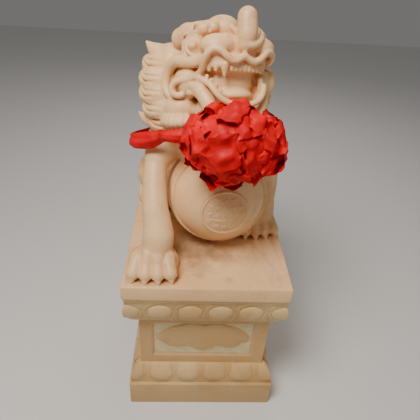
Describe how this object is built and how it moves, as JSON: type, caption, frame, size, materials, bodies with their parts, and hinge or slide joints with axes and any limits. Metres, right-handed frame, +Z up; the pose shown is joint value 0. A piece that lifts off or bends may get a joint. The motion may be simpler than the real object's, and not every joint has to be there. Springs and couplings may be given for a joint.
{
  "type": "guardian beast statue",
  "caption": "Seated horned pixiu carved in marble with its slab, forepaw on a coin-carved ball, on a lotus pedestal, wearing a red silk rosette on a silk sash.",
  "frame": {"origin": "centre of the pedestal's foot, on the ground", "axes": "+Z up, front of the animal towards -Y, +X to the right of a viewer who faces it"},
  "size_m": [0.56, 0.84, 1.4313],
  "materials": {
    "pedestal_marble": "honed warm pink-cream marble, soft veins",
    "figure_marble": "softly polished warm pink-cream marble",
    "rosette_silk": "bright red silk satin, gathered",
    "sash_silk": "bright red silk satin"
  },
  "bodies": {
    "root": {"lotus_pedestal": "pedestal_marble", "pixiu_figure": "figure_marble", "silk_rosette": "rosette_silk", "silk_sash": "sash_silk"}
  },
  "joints": []
}
